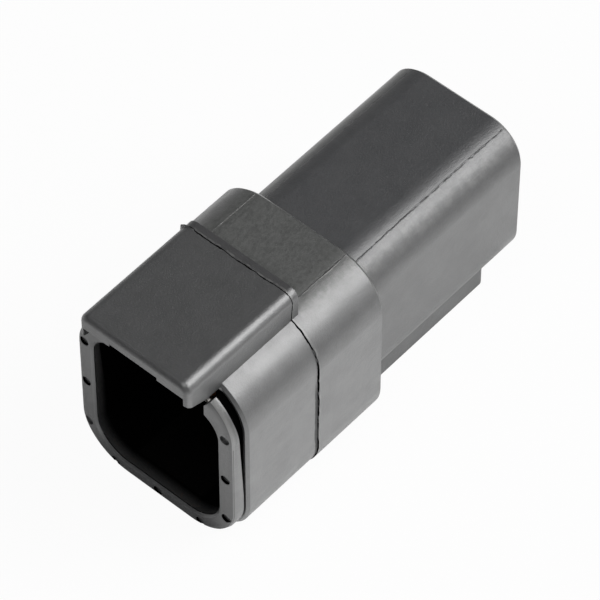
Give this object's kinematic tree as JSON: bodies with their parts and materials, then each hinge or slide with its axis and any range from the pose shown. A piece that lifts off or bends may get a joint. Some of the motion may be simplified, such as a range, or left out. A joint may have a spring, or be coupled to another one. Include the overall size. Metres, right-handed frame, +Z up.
{
  "type": "sealed automotive connector",
  "caption": "Rectangular sealed pin receptacle with a latch hood over its open mouth, a stepped wire section, clip rails, a wire seal, pin contacts and a wedge lock.",
  "frame": {"origin": "centre of the underside of the whole connector", "axes": "+Z up towards the latch hood, the mouth faces -Y, the wires leave at +Y, +X to the right seen from the mouth side looking along +Y"},
  "size_m": [0.021, 0.0484, 0.0263],
  "materials": {
    "housing_plastic": "satin moulded black plastic",
    "wedge_plastic": "satin moulded orange plastic",
    "seal_silicone": "soft matt rust-coloured silicone",
    "contact_metal": "satin nickel plate"
  },
  "bodies": {
    "receptacle": {"housing": "housing_plastic", "wire_seal": "seal_silicone", "pin_contact_1": "contact_metal", "pin_contact_2": "contact_metal", "pin_contact_3": "contact_metal", "pin_contact_4": "contact_metal", "pin_contact_5": "contact_metal", "pin_contact_6": "contact_metal"},
    "wedge": {"wedge_lock": "wedge_plastic"}
  },
  "joints": [
    {"name": "wedge_slide", "type": "slide", "parent": "receptacle", "child": "wedge", "axis": [0, -1, 0], "range_m": [0, 0.0075]}
  ]
}
